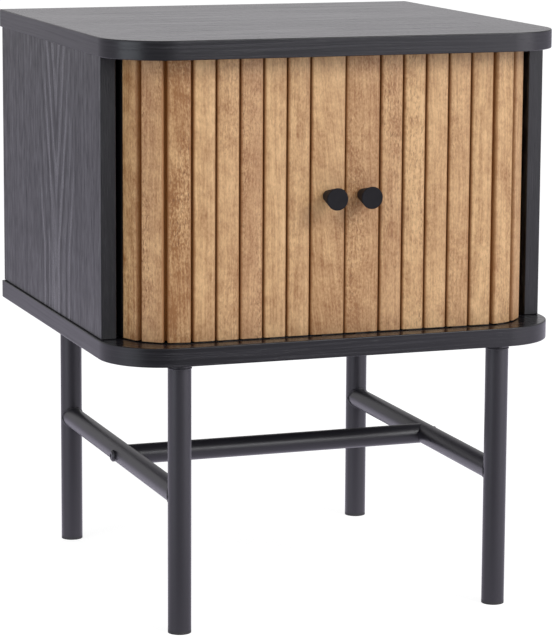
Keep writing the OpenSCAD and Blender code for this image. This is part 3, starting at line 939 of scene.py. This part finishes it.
def bead(name, points, radius):
    """A wavy tube of the given radius along a closed line of points."""
    count = len(points)
    bm = bmesh.new()
    rings = []
    side = (points[1] - points[-1]).normalized().orthogonal().normalized()
    for i, point in enumerate(points):
        ahead = (points[(i + 1) % count] - points[i - 1]).normalized()
        side = (side - ahead * side.dot(ahead)).normalized()
        size = radius * (1 + RIPPLE * math.sin(math.tau * i / RIPPLE_POINTS))
        rings.append(bead_ring(bm, point, ahead, side, size))
    for i, ring in enumerate(rings):
        after = rings[(i + 1) % count]
        for j in range(BEAD_AROUND):
            k = (j + 1) % BEAD_AROUND
            bm.faces.new((ring[j], ring[k], after[k], after[j]))
    piece = new_piece(name, bm, STEEL, Matrix.Identity(4))
    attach(piece, "case")
    return piece


# %% Welds on the legs
BEAD_POINTS = 72
RAIL_BEAD = 1.3 * MM
STRAP_BEAD = 1.0 * MM
STRAP_INSET = 0.04
STRAP_SINK = 0.4 * MM
beads = []
for side_name in SIDES:
    rail_low, rail_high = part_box(f"{side_name}_side_rail")
    rail_radius = (rail_high.z - rail_low.z) / 2
    rail_z = (rail_high.z + rail_low.z) / 2
    for end, toward in (("front", 1), ("rear", -1)):
        leg_low, leg_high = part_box(f"{end}_{side_name}_leg")
        leg_radius = (leg_high.x - leg_low.x) / 2
        axis_x = (leg_low.x + leg_high.x) / 2
        axis_y = (leg_low.y + leg_high.y) / 2
        cope = []
        crown = []
        for i in range(BEAD_POINTS):
            angle = math.tau * i / BEAD_POINTS
            across = rail_radius * math.cos(angle)
            reach = math.sqrt(leg_radius**2 - across**2)
            height = rail_z + rail_radius * math.sin(angle)
            cope.append(Vector((axis_x + across, axis_y + toward * reach, height)))
            ring_x = axis_x + leg_radius * math.cos(angle)
            ring_y = axis_y + leg_radius * math.sin(angle)
            crown.append(Vector((ring_x, ring_y, leg_high.z)))
        beads.append(bead(f"{end}_{side_name}_rail_weld", cope, RAIL_BEAD))
        axis = Vector((axis_x, axis_y, leg_high.z))
        inner = [p + (axis - p) * STRAP_INSET for p in crown]
        inner = [p - Vector((0, 0, STRAP_SINK)) for p in inner]
        beads.append(bead(f"{end}_{side_name}_strap_weld", inner, STRAP_BEAD))
print("beads:", len(beads))

# %% [markdown]
# ## Floor, backdrop and light
#
# The photograph has a white background with only a breath of shadow under the legs. The
# floor is a large pale sheet that glows a little for the camera, so that it reaches white,
# while its plain part still takes the shadow.
#
# Black furniture shows little of its own colour. What we see of it is the studio, mirrored
# faintly: the bright backdrop in the top and the side, and the darker floor in front of the
# table in the front edges, brighter towards both sides. Real cards and flags on the floor
# would do this, but the floor must stay plain. So it has its own levels for reflections,
# which the camera never sees directly, and a white backdrop stands behind.

# %% Paper and glow
def pale_paper(name):
    paper = Finish(name)
    tooth = paper.grit(60.0, 3.0)
    paper.paint(
        Base_Color=paper.mix(tooth, rgb(0.80, 0.80, 0.80), rgb(0.84, 0.84, 0.84)),
        Roughness=0.7 + tooth * 0.1,
    )
    return paper


def glow(paper, colour, strength):
    return paper.node("ShaderNodeEmission", None, {"Color": colour, "Strength": strength})


def shared(paper, factor, first, second):
    return paper.node("ShaderNodeMixShader", None, {0: factor, 1: first, 2: second})


def show(paper, surface):
    paper.put(paper.tree.nodes["Material Output"].inputs["Surface"], surface)
    return paper.material


def ray(net, kind):
    """1 for rays of this kind, such as those that come straight from the camera."""
    return net.node("ShaderNodeLightPath", output=f"Is {kind} Ray")


# %% Floor
FLOOR_REACH = 18.0
FLOOR_SHARE = 0.6
FLOOR_GLOW = 1.45
MIRRORED_WHITE = rgb(1.58, 1.50, 1.78)
MIRRORED_FRONT = 0.17
MIRRORED_LEFT = 0.7
MIRRORED_RIGHT = 1.0
MIRRORED_BACK = 0.36
BACK_FROM, BACK_FULL = 0.0, 2.0
RIGHT_LEAN = 0.38
RIGHT_FROM, RIGHT_FULL = -0.7, 0.6
RIGHT_LOSS = 0.4
LOSS_FROM, LOSS_FULL = -2.0, 0.5
LEFT_WAY = (-0.5, 0.87)
LEFT_FROM, LEFT_FULL = -0.4, 0.3


def pale_floor():
    floor = pale_paper("pale_floor")
    x, y = floor.split(floor.place())[:2]
    behind = floor.step(y, BACK_FROM, BACK_FULL)
    right = floor.step(x + y * RIGHT_LEAN, RIGHT_FROM, RIGHT_FULL)
    right = right * (1 - RIGHT_LOSS * floor.step(y, LOSS_FROM, LOSS_FULL))
    left = floor.step(x * LEFT_WAY[0] + y * LEFT_WAY[1], LEFT_FROM, LEFT_FULL)
    ahead = MIRRORED_FRONT + right * (MIRRORED_RIGHT - MIRRORED_FRONT)
    ahead = ahead + left * (1 - right) * (MIRRORED_LEFT - MIRRORED_FRONT)
    level = behind * MIRRORED_BACK + (1 - behind) * ahead
    paper = Wire(floor, floor.shader.outputs[0])
    share = ray(floor, "Camera") * FLOOR_SHARE
    lit = shared(floor, share, paper, glow(floor, rgb(1.0, 1.0, 1.0), FLOOR_GLOW))
    mirrored = glow(floor, floor.mix(level, rgb(0.0, 0.0, 0.0), MIRRORED_WHITE), 1.0)
    return show(floor, shared(floor, ray(floor, "Glossy"), lit, mirrored))


def make_sheet(name, size, finish, matrix):
    bm = bmesh.new()
    bmesh.ops.create_grid(bm, x_segments=8, y_segments=8, size=size)
    sheet = new_piece(name, bm, finish, matrix)
    return sheet


print(make_sheet("floor_sheet", FLOOR_REACH, pale_floor(), Matrix.Identity(4)).name)

# %% Backdrop
BACKDROP_Y = 8.0
BACKDROP_REACH = 4.5
BACKDROP_MIRRORED = 0.73
WORLD_LIGHT = 0.5


def backdrop():
    wall = pale_paper("backdrop_paper")
    soft = glow(wall, rgb(1.0, 1.0, 1.0), WORLD_LIGHT)
    mirrored = glow(wall, rgb(1.0, 0.98, 1.01), BACKDROP_MIRRORED)
    unseen = shared(wall, ray(wall, "Glossy"), soft, mirrored)
    full = glow(wall, rgb(1.0, 1.0, 1.0), 1.0)
    return show(wall, shared(wall, ray(wall, "Camera"), unseen, full))


stand_up = Matrix.Rotation(math.pi / 2, 4, "X")
upright = Matrix.Translation((0, BACKDROP_Y, BACKDROP_REACH)) @ stand_up
print(make_sheet("backdrop_sheet", BACKDROP_REACH, backdrop(), upright).name)


# %% World
def make_world():
    """A white room, at full white for the camera and softer as a light."""
    world = bpy.data.worlds.new("studio")
    bpy.context.scene.world = world
    world.use_nodes = True
    room = Net(world.node_tree)
    background = room.tree.nodes["Background"]
    room.put(background.inputs["Color"], rgb(1.0, 1.0, 1.0))
    strength = WORLD_LIGHT + ray(room, "Camera") * (1.0 - WORLD_LIGHT)
    room.put(background.inputs["Strength"], strength)
    return world


print("world:", make_world().name)

# %% [markdown]
# Two large soft boxes do the modelling: a stronger one high on the right, which rounds the
# knobs and lays their shadows to the lower left, and a weaker one on the left. The left one
# is kept out of reflections, where the black would show it as a glare. Three windows are the
# other way round: they are seen in reflections and light nothing else. They draw the soft
# streaks down the rounded left corner and the legs, and the one along the cross rail.

# %% Lamps
TARGET = Vector((0.0, 0.0, 0.36))


def soft_box(name, place, size, watts, colour=(1.0, 1.0, 1.0), lights=True, mirrored=True):
    light = bpy.data.lights.new(name, "AREA")
    light.shape = "RECTANGLE"
    light.size = size[0]
    light.size_y = size[1]
    light.energy = watts
    light.color = colour
    lamp = bpy.data.objects.new(name, light)
    bpy.context.scene.collection.objects.link(lamp)
    lamp.location = place
    lamp.rotation_mode = "QUATERNION"
    lamp.rotation_quaternion = (TARGET - Vector(place)).to_track_quat("-Z", "Y")
    lamp.visible_camera = False
    lamp.visible_diffuse = lights
    lamp.visible_glossy = mirrored
    print(name, watts, "W")


def window(name, place, size, watts, colour):
    """A soft box that is only seen in reflections."""
    soft_box(name, place, size, watts, colour, lights=False)


soft_box("key_box", (1.9, -2.6, 2.3), (1.6, 1.6), 62.0)
soft_box("left_box", (-2.9, -1.2, 1.5), (1.4, 2.2), 22.0, mirrored=False)
window("corner_window", (-2.8, -1.0, 0.15), (2.2, 1.1), 21.0, (0.86, 0.95, 1.0))
window("right_window", (2.5, -2.4, 0.6), (2.2, 1.6), 26.0, (0.97, 0.95, 1.0))
window("front_window", (0.85, -3.0, 1.25), (1.3, 0.9), 18.0, (0.97, 0.98, 1.0))

# %% [markdown]
# ## Camera
#
# The camera stands to the left of the middle and looks down a little. Its place, turn and
# lens were found by fitting the object's edges to the photograph. A Track To constraint would
# aim it as well, but it could not lean. So its three axes are worked out from the angles, and
# a small shift puts the table where it is in the frame.

# %% Camera
FRAME_WIDE = 552
FRAME_HIGH = 640
SENSOR = 36.0
FOCAL_PIXELS = 2918.0
CENTRE_PIXEL = (290.1, 269.9)
CAMERA_PLACE = Vector((-0.9686, -2.7116, 0.778))
LOOK_DOWN = math.radians(9.304)
LOOK_RIGHT = math.radians(19.981)
LEAN = math.radians(0.358)


def make_camera():
    data = bpy.data.cameras.new("photo_camera")
    camera = bpy.data.objects.new("photo_camera", data)
    bpy.context.scene.collection.objects.link(camera)
    data.sensor_width = SENSOR
    data.lens = FOCAL_PIXELS * SENSOR / FRAME_HIGH
    data.shift_x = (FRAME_WIDE / 2 - CENTRE_PIXEL[0]) / FRAME_HIGH
    data.shift_y = (CENTRE_PIXEL[1] - FRAME_HIGH / 2) / FRAME_HIGH
    ahead = Vector((math.sin(LOOK_RIGHT) * math.cos(LOOK_DOWN),
                    math.cos(LOOK_RIGHT) * math.cos(LOOK_DOWN),
                    -math.sin(LOOK_DOWN)))
    right = Vector((math.cos(LOOK_RIGHT), -math.sin(LOOK_RIGHT), 0.0))
    up = right.cross(ahead)
    leaning_right = right * math.cos(LEAN) + up * math.sin(LEAN)
    leaning_up = up * math.cos(LEAN) - right * math.sin(LEAN)
    turn = Matrix((leaning_right, leaning_up, -ahead)).transposed()
    camera.matrix_world = Matrix.Translation(CAMERA_PLACE) @ turn.to_4x4()
    bpy.context.scene.camera = camera
    return camera


camera = make_camera()
bpy.context.scene.view_settings.view_transform = "Standard"
print("lens", round(camera.data.lens, 1), "mm")
